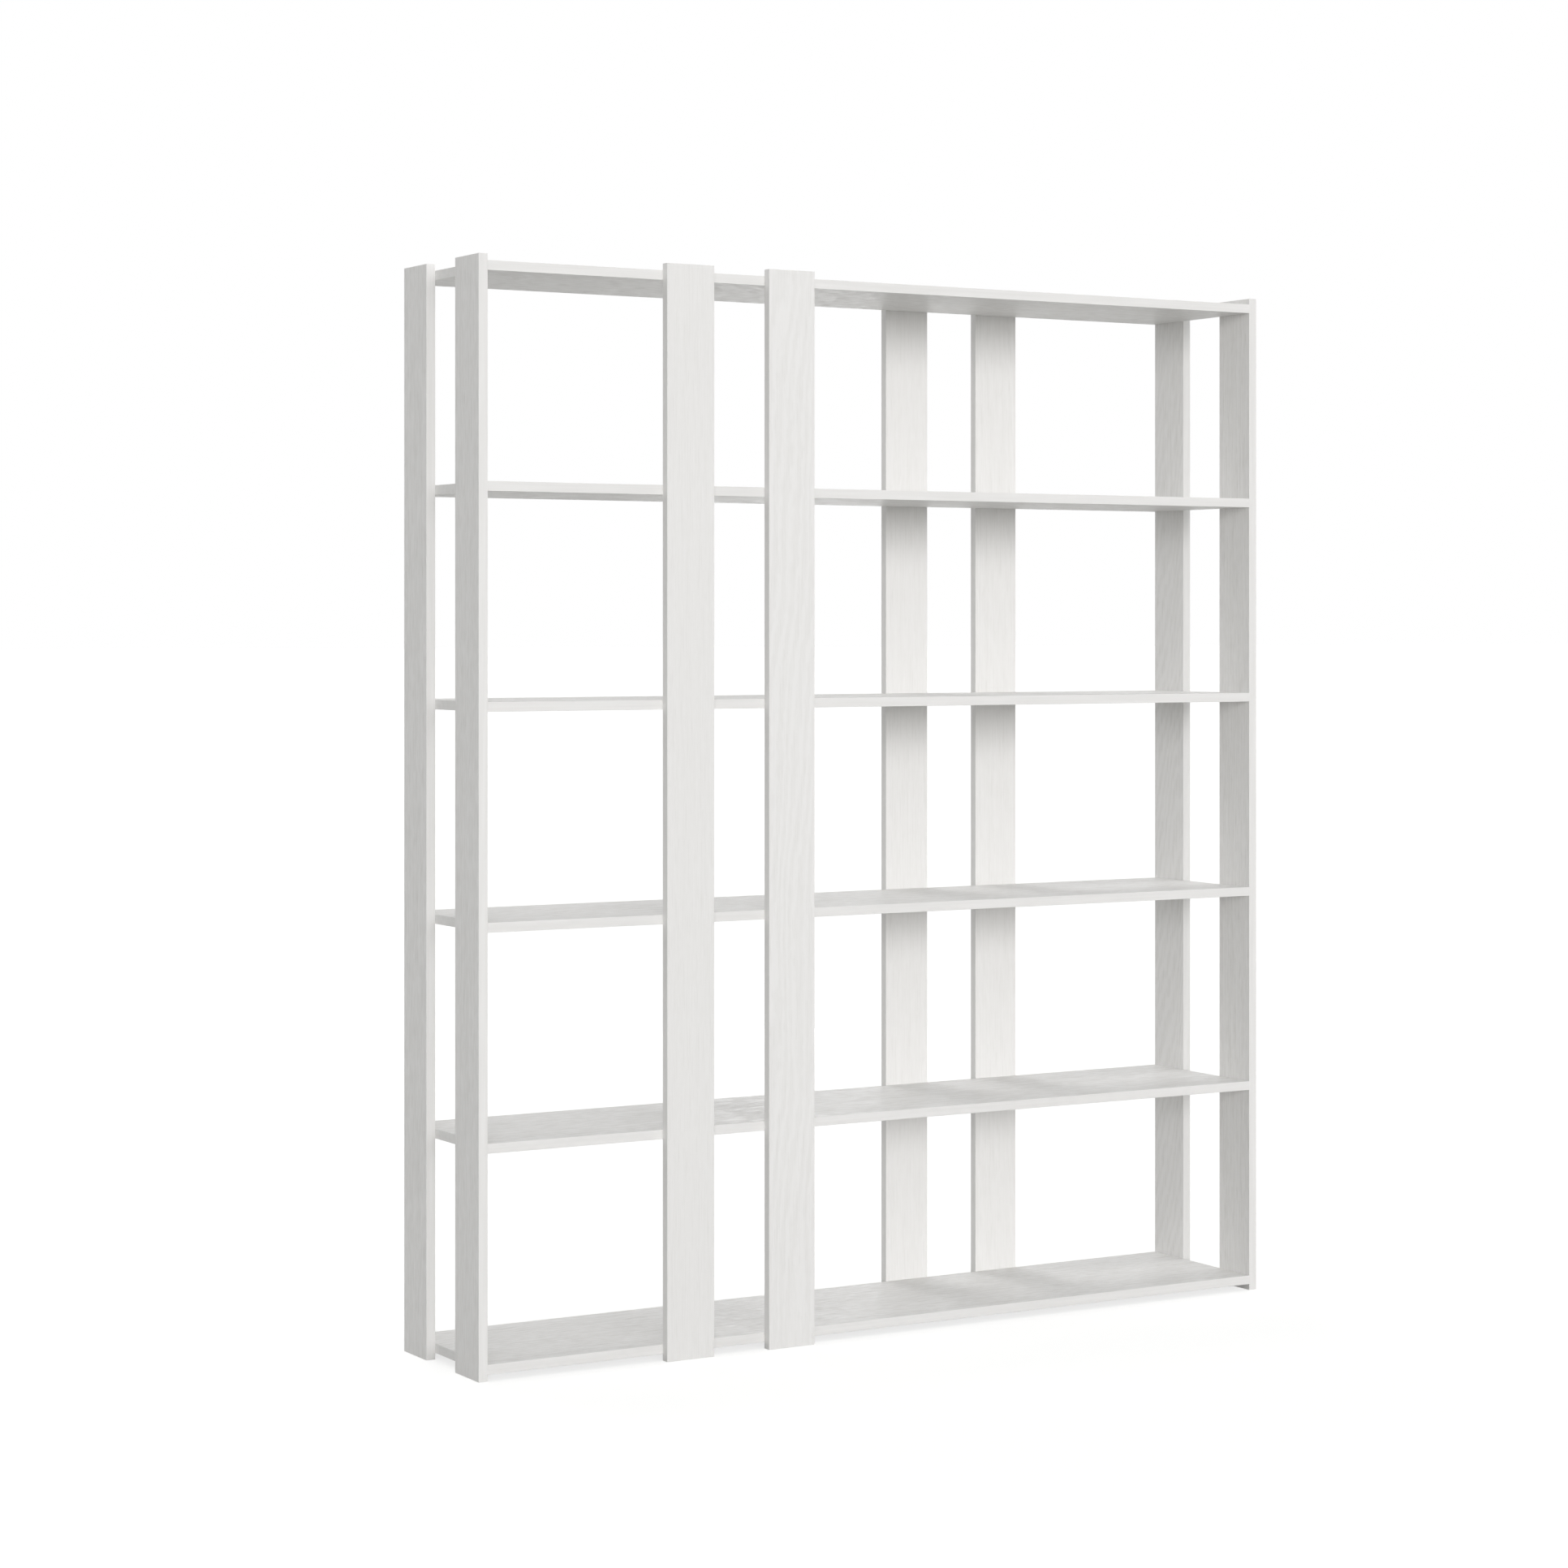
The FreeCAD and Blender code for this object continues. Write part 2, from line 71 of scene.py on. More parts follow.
SHELVES = list(SHELF_CUTS)

# The patterns' seeds: the last one before the shelves', how many each board takes, and how many
# its foil takes before its strips. Two seeds lie this many spots apart in the same noise.
SHELF_SEED = 200
BOARD_SEEDS = 20
FOIL_SEEDS = 10
SEED_STEP = 7.31

# A noise passes from its low side to its high side between these.
NOISE_LOW, NOISE_HIGH = 0.3, 0.7

# The growth rings: how many rings the bends and the small waves move them by, where a pale line
# fades, how many bends wide and long the patches with clear rings are, where a patch fades, and
# how much of the rings is left between patches.
RINGS_BENT = 5.0
RINGS_RIPPLED = 0.8
RING_FADE = (0.02, 0.38)
CLEAR_PATCH = (2.5, 3)
CLEAR_FADE = (0.35, 0.55)
FAINT_RINGS = 0.4

# The fine streaks and the pressed grooves: the noise that they take up, and how far a streak is
# sunk against the grooves.
STREAK_FADE = (0.52, 0.74)
GROOVE_FADE = (0.35, 0.65)
STREAK_SINK = 0.12

# The particle board: chips to a metre, one speck, how dark and how pale a chip can be against the
# board's own colour, and how matt it is.
CORE_CHIPS = 650.0
CORE_SPECK = 0.0006
CORE_DARK, CORE_PALE = 0.55, 1.3
CORE_ROUGHNESS = 0.9

# The strips against the foil: the width and length of their fibres and clouds, how dark the clouds
# are, how much rougher they are, and how many times shallower their emboss is.
STRIP_FIBRE = (0.7, 0.8)
STRIP_CLOUD = (0.45, 0.3)
STRIP_CLOUD_SHARE = 0.2
STRIP_ROUGHER = 0.02
STRIP_SHALLOWER = 5

# The strips' corners carry a painted highlight, paler and glossier, broken into patches: across and
# along one patch, the noise that it takes up, how far it passes into the paler colour, how pale
# that is against the foil, and how matt it is at its fullest.
CORNER_HIGHLIGHT_PATCH = (0.004, 0.05)
CORNER_HIGHLIGHT_FADE = (0.4, 0.6)
CORNER_HIGHLIGHT_SHARE = 0.5
CORNER_HIGHLIGHT_PALE = 1.05
CORNER_HIGHLIGHT_ROUGHNESS = 0.3

# The glue line: where it starts on a strip's thickness, and how strong it is.
GLUE_START = 0.9
GLUE_SHARE = 0.7

# The beech: across and along one fibre, one fleck of its rays and one soft patch, the noise that
# the flecks take up, how dark they and the dark wood are, and the wood's gloss and relief.
BEECH_FIBRE = (0.0004, 0.012)
BEECH_RAY = (0.00025, 0.0018)
BEECH_PATCH = (0.0015, 0.02)
RAY_FADE = (0.6, 0.72)
RAY_SHARE, RAY_DARK = 0.6, 0.5
BEECH_DARK = 0.82
BEECH_ROUGHNESS = (0.55, 0.72)
BEECH_RELIEF = 0.00003

# The metals: one soft cloud, how dark they get, and how much duller and shinier. Then each one's
# roughness, the spots of its surface and its relief: turning marks on steel and pits on zinc.
METAL_CLOUD = 0.004
METAL_DARK = 0.78
METAL_DULLER, METAL_SHINIER = 0.1, 0.05
STEEL_ROUGHNESS, ZINC_ROUGHNESS = 0.3, 0.42
STEEL_MARK = (0.003, 0.00008)
ZINC_PIT = 0.0006
STEEL_RELIEF, ZINC_RELIEF = 0.000008, 0.00004

# The fittings' shapes: flats round a dowel, of which every second one is a flute, sides round a
# bolt, steps in one turn of its thread, and where the thread's foot lies inside its core. Corners
# nearer than the merge distance become one, and so do rows that agree to so many digits.
DOWEL_FLATS = 24
BOLT_SIDES = 20
THREAD_STEPS = 12
THREAD_SINK = 0.95
MERGE_DISTANCE = 0.000001
ROW_DIGITS = 6

# Where each soft lamp stands: degrees to the right of the front, and degrees up.
LAMP_AIMS = {"left": (-30, 7), "front": (0, 7), "right": (90, 25), "back": (180, 45)}

ALONG_X, ALONG_Y, ALONG_Z = range(3)


def middle_of(node, axis):
    """Half way through a node along one axis."""
    low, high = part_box(node)
    return (low[axis] + high[axis]) / 2


def reach_of(node, axis):
    """How far a node reaches along one axis."""
    low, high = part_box(node)
    return high[axis] - low[axis]


JOINT_HEIGHTS = [middle_of(name, ALONG_Z) for name in SHELVES]
JOINT_SPAN = JOINT_HEIGHTS[-1] - JOINT_HEIGHTS[0]


def percent(name, description, default):
    """A setting from 0 to 1."""
    return FloatProperty(name=name, description=description, default=default, min=0, max=1)


def length(name, description, default):
    """A setting in metres."""
    return FloatProperty(name=name, description=description, default=default, min=0, unit="LENGTH")


def angle(name, description, degrees):
    """A setting that is an angle."""
    turn = math.radians(degrees)
    return FloatProperty(name=name, description=description, default=turn, unit="ROTATION")


def position(name, description, default):
    """A setting that is a place, in metres."""
    return FloatVectorProperty(
        name=name, description=description, default=default, subtype="TRANSLATION"
    )


def colour(name, description, default):
    """A setting that is a colour."""
    return FloatVectorProperty(
        name=name, description=description, default=default, size=3, min=0, max=1, subtype="COLOR"
    )


class FoilSettings(bpy.types.PropertyGroup):
    """The white wood-grain foil on the boards and the strips on their edges."""

    foil_colour: colour("Foil", "The palest lines of the print", (0.829, 0.823, 0.811))
    grain_colour: colour("Grain", "The darkest lines of the print", (0.70, 0.692, 0.67))
    foil_thickness: length("Foil thickness", "The printed foil on each face of a board", 0.0002)
    ground_share: percent("Ground share", "How dark the print is between its lines", 0.2)
    tone_width: length("Tone width", "Across one soft band of lighter or darker foil", 0.022)
    tone_length: length("Tone length", "Along one soft band of lighter or darker foil", 0.6)
    tone_share: percent("Tone share", "How dark the soft bands are", 0.03)
    fibre_width: length("Fibre width", "Across one printed fibre", 0.0036)
    fibre_length: length("Fibre length", "Along one printed fibre", 0.22)
    fibre_share: percent("Fibre share", "How dark the fibres are", 0.13)
    pore_share: percent("Pore share", "How dark the print is in the pressed grooves", 0.08)
    hair_width: length("Hair width", "Across one fine dark streak", 0.0016)
    hair_length: length("Hair length", "Along one fine dark streak", 0.055)
    hair_share: percent("Hair share", "How dark the fine streaks are", 0.3)
    ring_spacing: length("Ring spacing", "From one growth ring of the figure to the next", 0.019)
    ring_share: percent("Ring share", "How pale the growth rings are", 0.24)
    figure_width: length("Figure width", "Across one bend of the growth rings", 0.075)
    figure_length: length("Figure length", "Along one bend of the growth rings", 0.5)
    ripple_width: length("Ripple width", "Across one small wave of the growth rings", 0.012)
    ripple_length: length("Ripple length", "Along one small wave of the growth rings", 0.03)
    relief_width: length("Relief width", "Across one pressed groove", 0.0055)
    relief_length: length("Relief length", "Along one pressed groove", 0.026)
    emboss_depth: length("Emboss depth", "How deep the grain is pressed into the foil", 0.0003)
    roughness: percent("Roughness", "How matt the foil is", 0.48)
    polish_change: percent("Polish change", "How much glossier the emboss is where high", 0.19)
    refraction: FloatProperty(
        name="Refraction", description="How strongly the foil mirrors", default=1.43
    )
    # How far the painted highlight along a strip's corner reaches.
    highlight_width: length("Wear width", "How far the rubbing along a corner reaches", 0.0012)


class FittingSettings(bpy.types.PropertyGroup):
    """The fittings and the board's core."""

    core_colour: colour("Core", "The particle board under the foil", (0.50, 0.36, 0.21))
    glue_colour: colour("Glue", "The glue line beside a strip", (0.52, 0.49, 0.42))
    beech_colour: colour("Beech", "The dowels", (0.62, 0.43, 0.25))
    dowel_chamfer: length("Dowel chamfer", "Round both ends of a dowel", 0.001)
    flute_wall: length("Flute wall", "From a flute to the edge of its flat", 0.0002)
    flute_depth: length("Flute depth", "How deep the flutes are pressed into a dowel", 0.00025)
    steel_colour: colour("Steel", "The bolts", (0.63, 0.63, 0.62))
    head_length: length("Head length", "The head of a bolt", 0.0032)
    head_chamfer: length("Head chamfer", "Round both ends of a bolt's head", 0.0003)
    neck_length: length("Neck length", "From a bolt's head to its shank", 0.0064)
    neck_diameter: length("Neck diameter", "A bolt behind its head", 0.004)
    head_diameter: length("Head diameter", "A bolt's head", 0.0068)
    thread_diameter: length("Thread diameter", "Over a bolt's thread", 0.0062)
    thread_core: length("Thread core", "A bolt under its thread", 0.0044)
    thread_pitch: length("Thread pitch", "From one turn of a bolt's thread to the next", 0.0025)
    zinc_colour: colour("Zinc", "The cams", (0.50, 0.51, 0.52))


class StudioSettings(bpy.types.PropertyGroup):
    """The floor, the lamps and the camera."""

    floor_size: length("Floor size", "One side of the floor", 400)
    floor_gap: length("Floor gap", "From the uprights' feet down to the floor", 0.0004)
    floor_colour: colour("Floor", "The floor", (0.392, 0.392, 0.383))
    floor_glow: percent("Floor glow", "White added to what is seen of the floor", 0.735)
    sky_colour: colour("Sky", "The light from all round", (0.99, 1.0, 0.995))
    sky_level: percent("Sky level", "How strong the light from all round is", 0.48)
    lamp_colour: colour("Lamps", "The soft lamps", (1.0, 0.99, 0.995))
    lamp_spread: angle("Lamp spread", "How wide each soft lamp looks from the bookcase", 28)
    left_level: percent("Left level", "How strong the lamp in front and to the left is", 0.43)
    front_level: percent("Front level", "How strong the lamp in front is", 0.327)
    right_level: percent("Right level", "How strong the lamp to the right is", 0.255)
    back_level: percent("Back level", "How strong the lamp behind is", 0.24)
    tube_level: FloatProperty(
        name="Tube level", description="How bright the upright tube is", default=1.55
    )
    tube_width: length("Tube width", "Across the upright tube behind", 0.735)
    tube_height: length("Tube height", "From the foot of the upright tube to its top", 1.4)
    tube_place: position("Tube place", "The middle of the upright tube", (2.488, 4.385, 0.7))
    camera_place: position("Camera place", "Where the camera stands", (-3.6499, -5.9272, 1.3642))
    camera_heading: angle("Camera heading", "How far the camera turns to the right", 30.566)
    camera_lens: FloatProperty(
        name="Camera lens", description="The camera's focal length", default=81.01, unit="CAMERA"
    )
    camera_shift: FloatVectorProperty(
        name="Camera shift",
        description="How far the picture is shifted, as shares of its width",
        default=(0, -0.1001),
        size=2,
    )


def feed(tree, socket, value):
    """Sets a socket, or links another one to it."""
    if isinstance(value, bpy.types.NodeSocket):
        tree.links.new(value, socket)
    else:
        socket.default_value = value


def add_node(tree, kind, settings=None, **inputs):
    """A node with its own settings, and with its inputs fed by their names."""
    node = tree.nodes.new("ShaderNode" + kind)
    for name, value in (settings or {}).items():
        setattr(node, name, value)
    for name, value in inputs.items():
        feed(tree, node.inputs[name.replace("_", " ")], value)
    return node


def maths(tree, operation, *values):
    """The result of one sum on numbers or sockets."""
    node = add_node(tree, "Math", {"operation": operation})
    for socket, value in zip(node.inputs, values):
        feed(tree, socket, value)
    return node.outputs[0]


def ramp(tree, value, low, high, bottom=0.0, top=1.0):
    """A value eased from bottom to top as it goes from low to high."""
    settings = {"interpolation_type": "SMOOTHSTEP"}
    node = add_node(tree, "MapRange", settings, Value=value, From_Min=low, From_Max=high)
    feed(tree, node.inputs["To Min"], bottom)
    feed(tree, node.inputs["To Max"], top)
    return node.outputs[0]


def swing(tree, noise):
    """A noise drawn out to swing from -0.5 to 0.5."""
    return ramp(tree, noise, NOISE_LOW, NOISE_HIGH, -0.5, 0.5)


def average(tree, first, second):
    """Half way between two values."""
    return maths(tree, "MULTIPLY_ADD", first, 0.5, maths(tree, "MULTIPLY", second, 0.5))


def blend_values(tree, share, first, second):
    """One value passing into another."""
    node = add_node(tree, "Mix", {"data_type": "FLOAT"}, Factor=share, A=first, B=second)
    return node.outputs[0]


def blend_colours(tree, share, first, second):
    """One colour passing into another."""
    node = add_node(tree, "Mix", {"data_type": "RGBA"})
    feed(tree, node.inputs[0], share)
    for socket, value in zip((node.inputs[6], node.inputs[7]), (first, second)):
        feed(tree, socket, value if isinstance(value, bpy.types.NodeSocket) else (*value, 1))
    return node.outputs[2]


def toned(tint, share):
    """A colour made darker or paler."""
    return tuple(min(part * share, 1) for part in tint)


def lengthwise(across, along, axis):
    """The sizes of a spot along the three axes, drawn out along one of them."""
    sizes = [across] * 3
    sizes[axis] = along
    return sizes


def new_material(name):
    """An empty material: its node tree and its surface shader."""
    material = bpy.data.materials.new(name)
    material.use_nodes = True
    return material, material.node_tree, material.node_tree.nodes["Principled BSDF"]


def emboss(tree, shader, height, depth):
    """Presses a relief into a surface."""
    bump = add_node(tree, "Bump", None, Strength=1.0, Distance=depth, Height=height)
    feed(tree, shader.inputs["Normal"], bump.outputs[0])


class Board:
    """One board's outer box, and node patterns that follow its grain."""

    def __init__(self, tree, node, seed):
        self.tree = tree
        self.low, self.high = (list(corner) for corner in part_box(node + "_edging"))
        self.sizes = [high - low for low, high in zip(self.low, self.high)]
        self.through, self.across, self.along = sorted(range(3), key=lambda axis: self.sizes[axis])
        self.place = add_node(tree, "TexCoord").outputs["Object"]
        self.parts = add_node(tree, "SeparateXYZ", None, Vector=self.place).outputs
        self.seed = seed

    def inset(self, axis):
        """How far inside the board's outer faces a point lies, along one axis."""
        middle = (self.low[axis] + self.high[axis]) / 2
        off = maths(self.tree, "ABSOLUTE", maths(self.tree, "SUBTRACT", self.parts[axis], middle))
        return maths(self.tree, "SUBTRACT", self.sizes[axis] / 2, off)

    def noise(self, width, reach, detail=2.0, along=None):
        """Noise from 0 to 1, stretched along the grain, and new at each call."""
        self.seed += 1
        scale = lengthwise(width, reach, self.along if along is None else along)
        shift = [self.seed * size * SEED_STEP for size in scale]
        mapping = {"Vector": self.place, "Location": shift, "Scale": scale}
        mapped = add_node(self.tree, "Mapping", {"vector_type": "TEXTURE"}, **mapping).outputs[0]
        noise = add_node(self.tree, "TexNoise", None, Vector=mapped, Scale=1.0, Detail=detail)
        return noise.outputs["Fac"]


def figure_rings(board, settings, lean):
    """Growth rings that bend and ripple along the board: 1 on their pale lines, 0 between them."""
    tree = board.tree
    bend = board.noise(settings.figure_width, settings.figure_length, 1.0)
    ripple = board.noise(settings.ripple_width, settings.ripple_length)
    along, across = board.parts[board.along], board.parts[board.across]
    leaned = maths(tree, "MULTIPLY_ADD", along, lean, across)
    counted = maths(tree, "DIVIDE", leaned, settings.ring_spacing)
    counted = maths(tree, "MULTIPLY_ADD", bend, RINGS_BENT, counted)
    counted = maths(tree, "MULTIPLY_ADD", ripple, RINGS_RIPPLED, counted)
    return ramp(tree, maths(tree, "PINGPONG", counted, 0.5), *RING_FADE, 1.0, 0.0)


def foil_pattern(board, settings, figure, lean):
    """How dark the print is against its ground, and how high the emboss stands from 0 to 1."""
    tree = board.tree
    patch_width, patch_length = CLEAR_PATCH
    tone = board.noise(settings.tone_width, settings.tone_length)
    fibre = board.noise(settings.fibre_width, settings.fibre_length, 3.0)
    hair = board.noise(settings.hair_width, settings.hair_length)
    relief = board.noise(settings.relief_width, settings.relief_length, 3.0)
    patch = (settings.figure_width * patch_width, settings.figure_length * patch_length)
    presence = board.noise(*patch, 0.0)
    ring = figure_rings(board, settings, lean)
    strength = ramp(tree, presence, *CLEAR_FADE, figure * FAINT_RINGS, figure)
    streak = ramp(tree, hair, *STREAK_FADE)
    pore = ramp(tree, relief, *GROOVE_FADE, 0.5, -0.5)
    pale = maths(tree, "MULTIPLY", ring, strength)
    dark = maths(tree, "MULTIPLY", swing(tree, tone), settings.tone_share)
    dark = maths(tree, "MULTIPLY_ADD", swing(tree, fibre), settings.fibre_share, dark)
    dark = maths(tree, "MULTIPLY_ADD", streak, settings.hair_share, dark)
    dark = maths(tree, "MULTIPLY_ADD", pore, settings.pore_share, dark)
    dark = maths(tree, "MULTIPLY_ADD", pale, -settings.ring_share, dark)
    height = maths(tree, "MULTIPLY_ADD", streak, -STREAK_SINK, relief)
    return dark, height


def core_surface(board, tint):
    """The colour and the height of particle board: flat chips of several tones."""
    tree = board.tree
    chips = add_node(tree, "TexVoronoi", None, Vector=board.place, Scale=CORE_CHIPS)
    tone = add_node(tree, "SeparateXYZ", None, Vector=chips.outputs["Color"]).outputs[0]
    speck = board.noise(CORE_SPECK, CORE_SPECK, 4.0)
    shade = average(tree, speck, tone)
    return blend_colours(tree, shade, toned(tint, CORE_DARK), toned(tint, CORE_PALE)), shade


def make_foil(node, cut, seed, settings, fittings):
    """Board foil with its grain along the board, over a particle-board core."""
    clearness, figure, lean = cut
    material, tree, shader = new_material(node + "_foil")
    board = Board(tree, node, seed)
    dark, height = foil_pattern(board, settings, figure, lean)
    dark = maths(tree, "MULTIPLY_ADD", dark, clearness, settings.ground_share)
    printed = blend_colours(tree, dark, settings.foil_colour, settings.grain_colour)
    core, chips = core_surface(board, fittings.core_colour)
    bare = maths(tree, "GREATER_THAN", board.inset(board.through), settings.foil_thickness)
    feed(tree, shader.inputs["Base Color"], blend_colours(tree, bare, printed, core))
    matt = settings.roughness + settings.polish_change
    polished = settings.roughness - settings.polish_change
    gloss = ramp(tree, height, NOISE_LOW, NOISE_HIGH, matt, polished)
    feed(tree, shader.inputs["Roughness"], ramp(tree, bare, 0.0, 1.0, gloss, CORE_ROUGHNESS))
    relief = blend_values(tree, bare, height, chips)
    emboss(tree, shader, relief, settings.emboss_depth * clearness)
    shader.inputs["IOR"].default_value = settings.refraction
    return material


def make_strip(node, seed, settings, fittings):
    """One board's edging strips: clouded lengthwise, with a glue line and a painted highlight along
    their corners.
    """
    material, tree, shader = new_material(node + "_strip")
    board = Board(tree, node, seed)
    foil_cloud = (settings.tone_width, settings.tone_length)
    foil_fibre = (settings.fibre_width, settings.fibre_length)
    cloud_size = [size * share for size, share in zip(foil_cloud, STRIP_CLOUD)]
    fibre_size = [size * share for size, share in zip(foil_fibre, STRIP_FIBRE)]
    cloud = board.noise(*cloud_size, 1.0)
    along_side = board.noise(*fibre_size)
    across_end = board.noise(*fibre_size, along=board.across)
    strip_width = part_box(node)[0][board.across] - board.low[board.across]
    end_depth = board.inset(board.along)
    on_end = maths(tree, "LESS_THAN", end_depth, strip_width)
    fibre = blend_values(tree, on_end, along_side, across_end)
    dark = swing(tree, cloud)
    dark = maths(tree, "MULTIPLY_ADD", dark, STRIP_CLOUD_SHARE, settings.ground_share)
    dark = maths(tree, "MULTIPLY_ADD", swing(tree, fibre), settings.fibre_share, dark)
    printed = blend_colours(tree, dark, settings.foil_colour, settings.grain_colour)
    edge_depth = maths(tree, "MINIMUM", board.inset(board.across), end_depth)
    corner_depth = maths(tree, "MAXIMUM", edge_depth, board.inset(board.through))
    # Painted highlight: the strips turn paler and glossier in patches along their corners.
    corner_highlight = ramp(tree, corner_depth, 0.0, settings.highlight_width, CORNER_HIGHLIGHT_SHARE, 0.0)
    corner_highlight = maths(tree, "MULTIPLY", corner_highlight, ramp(tree, board.noise(*CORNER_HIGHLIGHT_PATCH), *CORNER_HIGHLIGHT_FADE))
    printed = blend_colours(tree, corner_highlight, printed, toned(settings.foil_colour, CORNER_HIGHLIGHT_PALE))
    glue = ramp(tree, edge_depth, strip_width * GLUE_START, strip_width, 0.0, GLUE_SHARE)
    glued = blend_colours(tree, glue, printed, fittings.glue_colour)
    feed(tree, shader.inputs["Base Color"], glued)
    gloss = ramp(tree, corner_highlight, 0.0, 1.0, settings.roughness + STRIP_ROUGHER, CORNER_HIGHLIGHT_ROUGHNESS)
    feed(tree, shader.inputs["Roughness"], gloss)
    emboss(tree, shader, fibre, settings.emboss_depth / STRIP_SHALLOWER)
    shader.inputs["IOR"].default_value = settings.refraction
    return material


def stretched_noise(tree, sizes, detail=2.0):
    """Noise from 0 to 1 whose spots have the given sizes along the three axes."""
    place = add_node(tree, "TexCoord").outputs["Object"]
    mapping = {"Vector": place, "Scale": sizes}
    mapped = add_node(tree, "Mapping", {"vector_type": "TEXTURE"}, **mapping).outputs[0]
    noise = add_node(tree, "TexNoise", None, Vector=mapped, Scale=1.0, Detail=detail)
    return noise.outputs["Fac"]


def make_beech(name, along, tint):
    """Beech with its fibres along one axis, and the short brown flecks of its rays."""
    material, tree, shader = new_material(name)
    spots = (BEECH_FIBRE, BEECH_RAY, BEECH_PATCH)
    fibre, ray, patch = (stretched_noise(tree, lengthwise(*spot, along)) for spot in spots)
    shade = ramp(tree, average(tree, patch, fibre), NOISE_LOW, NOISE_HIGH)
    wood = blend_colours(tree, shade, toned(tint, BEECH_DARK), tint)
    fleck = maths(tree, "MULTIPLY", ramp(tree, ray, *RAY_FADE), RAY_SHARE)
    flecked = blend_colours(tree, fleck, wood, toned(tint, RAY_DARK))
    feed(tree, shader.inputs["Base Color"], flecked)
    gloss = ramp(tree, fibre, NOISE_LOW, NOISE_HIGH, *BEECH_ROUGHNESS)
    feed(tree, shader.inputs["Roughness"], gloss)
    emboss(tree, shader, fibre, BEECH_RELIEF)
    return material


def make_metal(name, tint, roughness, sizes, relief):
    """Metal whose tone, gloss and relief change from spot to spot of the given sizes."""
    material, tree, shader = new_material(name)
    spots = stretched_noise(tree, sizes, 4.0)
    cloud = stretched_noise(tree, [METAL_CLOUD] * 3)
    shade = average(tree, cloud, spots)
    shine = ramp(tree, shade, NOISE_LOW, NOISE_HIGH)
    tone = blend_colours(tree, shine, toned(tint, METAL_DARK), tint)
    feed(tree, shader.inputs["Base Color"], tone)
    shader.inputs["Metallic"].default_value = 1.0
    dull, bright = roughness + METAL_DULLER, roughness - METAL_SHINIER
    gloss = ramp(tree, shade, NOISE_LOW, NOISE_HIGH, dull, bright)
    feed(tree, shader.inputs["Roughness"], gloss)
    emboss(tree, shader, spots, relief)
    return material


def dress(nodes, material):
    """Puts one material on several CAD nodes."""
    for name in nodes:
        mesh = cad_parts[name].data
        mesh.materials.clear()
        mesh.materials.append(material)


def cover_boards(context, cuts, seed):
    """Covers boards with foil and strips, each cut from its own stretch of the print."""
    foil = context.scene.bookcase_foil
    fittings = context.scene.bookcase_fittings
    for node, cut in cuts.items():
        seed += BOARD_SEEDS
        dress([node], make_foil(node, cut, seed, foil, fittings))
        dress([node + "_edging"], make_strip(node, seed + FOIL_SEEDS, foil, fittings))


class BOOKCASE_OT_cover_uprights(bpy.types.Operator):
    """Cover the uprights with foil whose grain runs up them"""

    bl_idname = "bookcase.cover_uprights"
    bl_label = "Cover uprights"

    def execute(self, context):
        cover_boards(context, UPRIGHT_CUTS, 0)
        return {"FINISHED"}


class BOOKCASE_OT_cover_shelves(bpy.types.Operator):
    """Cover the shelves with foil whose grain runs along them"""

    bl_idname = "bookcase.cover_shelves"
    bl_label = "Cover shelves"

    def execute(self, context):
        cover_boards(context, SHELF_CUTS, SHELF_SEED)
        return {"FINISHED"}


def turned(corners):
    """A closed shape turned round the x axis from corners given as (along, radius)."""
    shape = bmesh.new()
    rim = [shape.verts.new((along, 0, radius)) for along, radius in corners]
    edges = [shape.edges.new(pair) for pair in zip(rim, rim[1:])]
    turn = {"cent": (0, 0, 0), "axis": (1, 0, 0), "angle": math.tau}
    bmesh.ops.spin(shape, geom=rim + edges, steps=BOLT_SIDES, use_merge=True, **turn)
    bmesh.ops.remove_doubles(shape, verts=shape.verts, dist=MERGE_DISTANCE)
    bmesh.ops.recalc_face_normals(shape, faces=shape.faces)
    return shape


def fluted_dowel(settings, diameter, reach):
    """A dowel along the x axis, starting at 0, with chamfered ends and pressed flutes."""
    shape = bmesh.new()
    rod = {"segments": DOWEL_FLATS, "radius1": diameter / 2, "radius2": diameter / 2}
    bmesh.ops.create_cone(shape, cap_ends=True, depth=reach, **rod)
    rims = []
    for edge in shape.edges:
        first, second = edge.verts
        if abs(first.co.z - second.co.z) < reach / 2:
            rims.append(edge)
    chamfer = {"offset": settings.dowel_chamfer, "segments": 1, "profile": 0.5, "affect": "EDGES"}
    bmesh.ops.bevel(shape, geom=rims, material=-1, **chamfer)
    nearly_level = 0.1
    flats = [face for face in shape.faces if abs(face.normal.z) < nearly_level]
    flats.sort(key=lambda face: math.atan2(face.normal.y, face.normal.x))
    press = {"thickness": settings.flute_wall, "depth": -settings.flute_depth}
    bmesh.ops.inset_individual(shape, faces=flats[::2], **press)
    lay = Matrix.Translation((reach / 2, 0, 0)) @ Matrix.Rotation(math.pi / 2, 4, "Y")
    bmesh.ops.transform(shape, matrix=lay, verts=shape.verts)
    return shape


